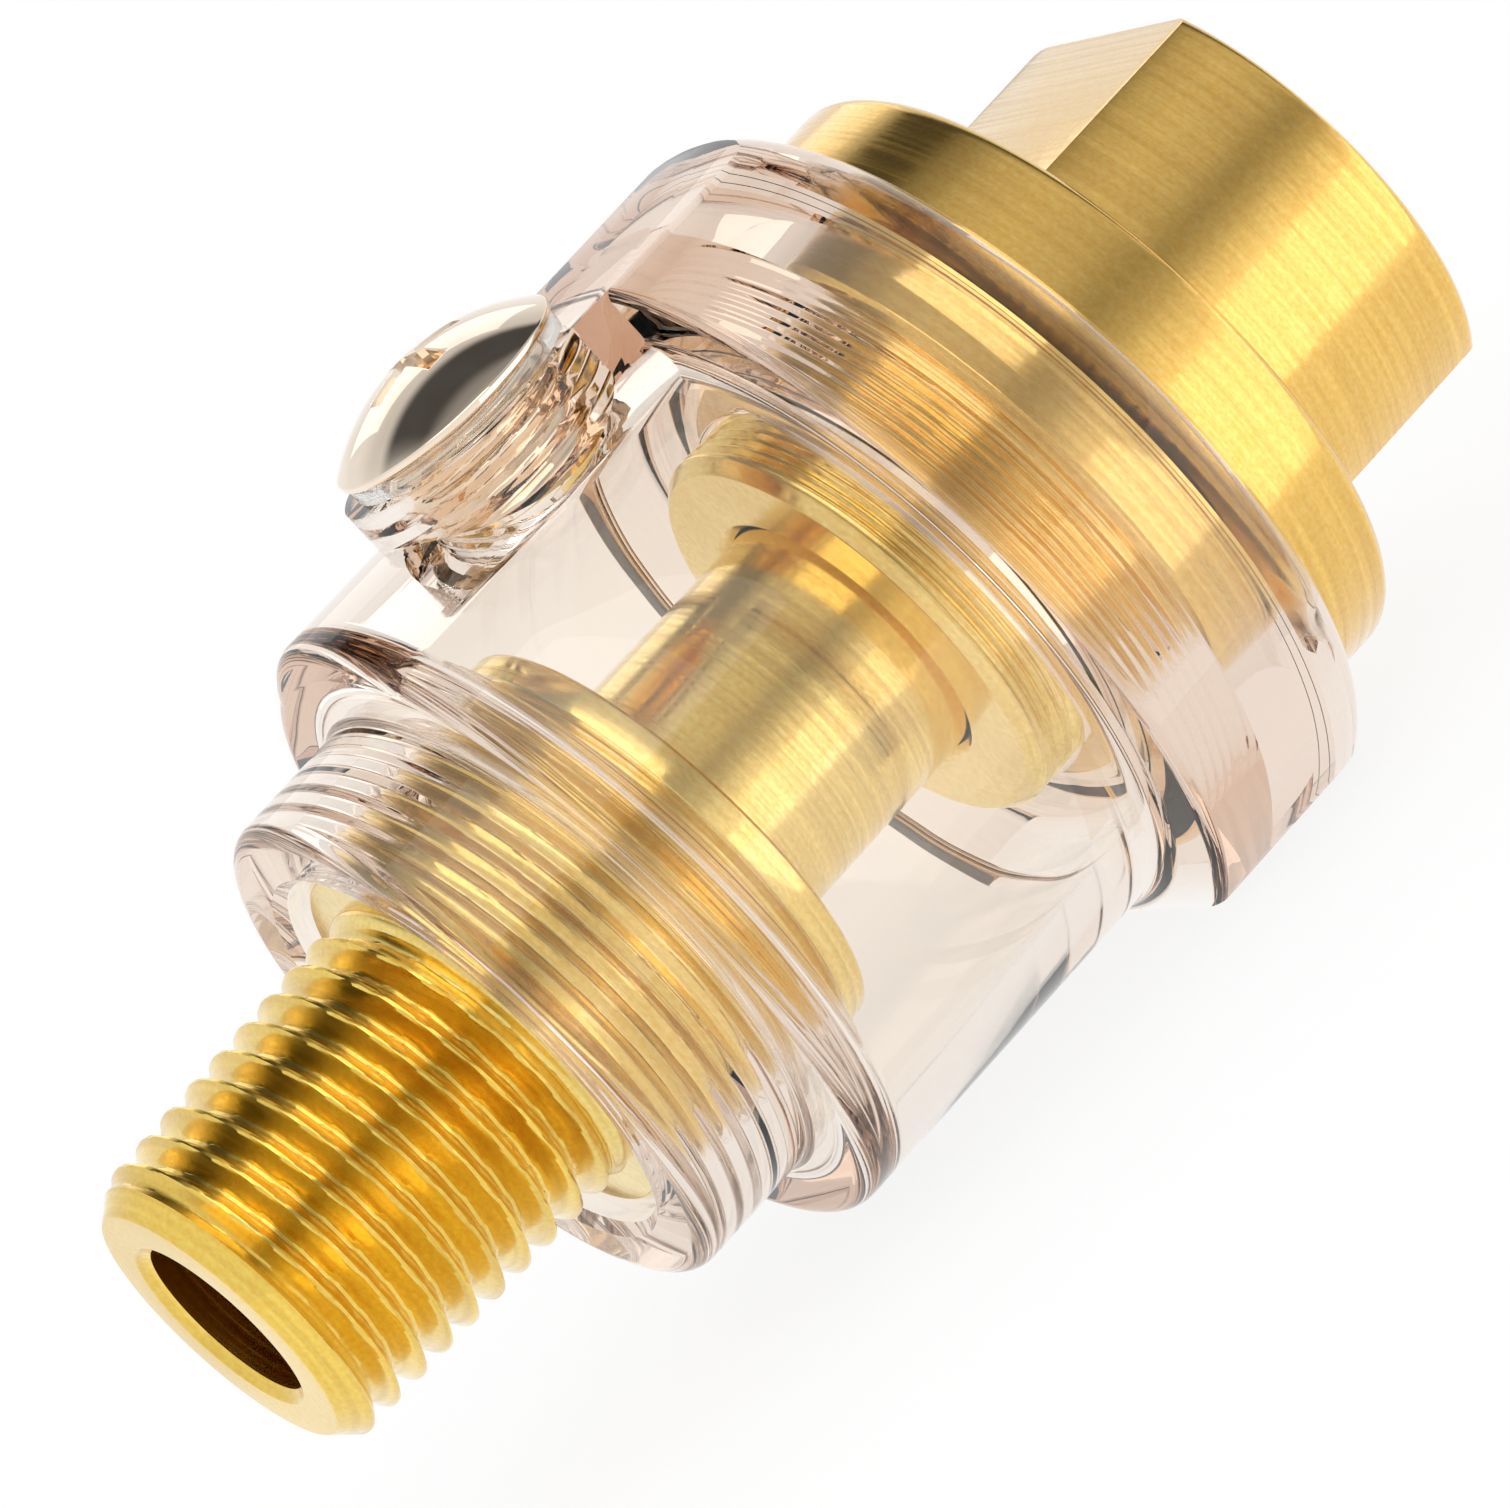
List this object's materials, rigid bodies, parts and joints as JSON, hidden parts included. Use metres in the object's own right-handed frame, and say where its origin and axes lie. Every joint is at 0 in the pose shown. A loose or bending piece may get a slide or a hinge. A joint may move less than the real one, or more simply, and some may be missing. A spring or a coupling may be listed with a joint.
{
  "type": "mini air lubricator",
  "caption": "In-line air tool oiler: clear round oil bowl on a brass air tube, tapered male outlet, tapped inlet with spanner flats, and a domed filler screw on the side.",
  "frame": {"origin": "on the air axis, in the plane of the outlet's end face", "axes": "+X along the air axis towards the inlet, against the flow; +Z along the filler screw, away from the bowl"},
  "size_m": [0.0602, 0.0348, 0.035],
  "materials": {
    "clear_plastic": "clear moulded, polished",
    "brass": "bright, with fine turning marks",
    "plated_screw": "nickel plated, polished",
    "rubber": "matt",
    "silicone": "translucent, satin",
    "porous_bronze": "sintered, porous"
  },
  "bodies": {
    "lubricator": {"bowl": "clear_plastic", "end_cap": "clear_plastic", "outlet_stem": "brass", "inlet_fitting": "brass", "inlet_o_ring": "silicone", "tube_o_ring": "rubber", "stem_gasket": "silicone", "oil_wick": "porous_bronze"},
    "washer": {"filler_washer": "silicone"},
    "screw": {"filler_screw": "plated_screw"}
  },
  "joints": [
    {"name": "filler_rise", "type": "slide", "parent": "lubricator", "child": "washer", "axis": [0, 0, 1], "range_m": [0, 0.005]},
    {"name": "filler_turn", "type": "hinge", "parent": "washer", "child": "screw", "pos_m": [0.0307, 0, 0.0175], "axis": [0, 0, 1], "range_deg": [0, 1800]}
  ],
  "couplings": [
    {"joint": "filler_turn", "follows": "filler_rise", "rad_per_m": 6283.2}
  ]
}
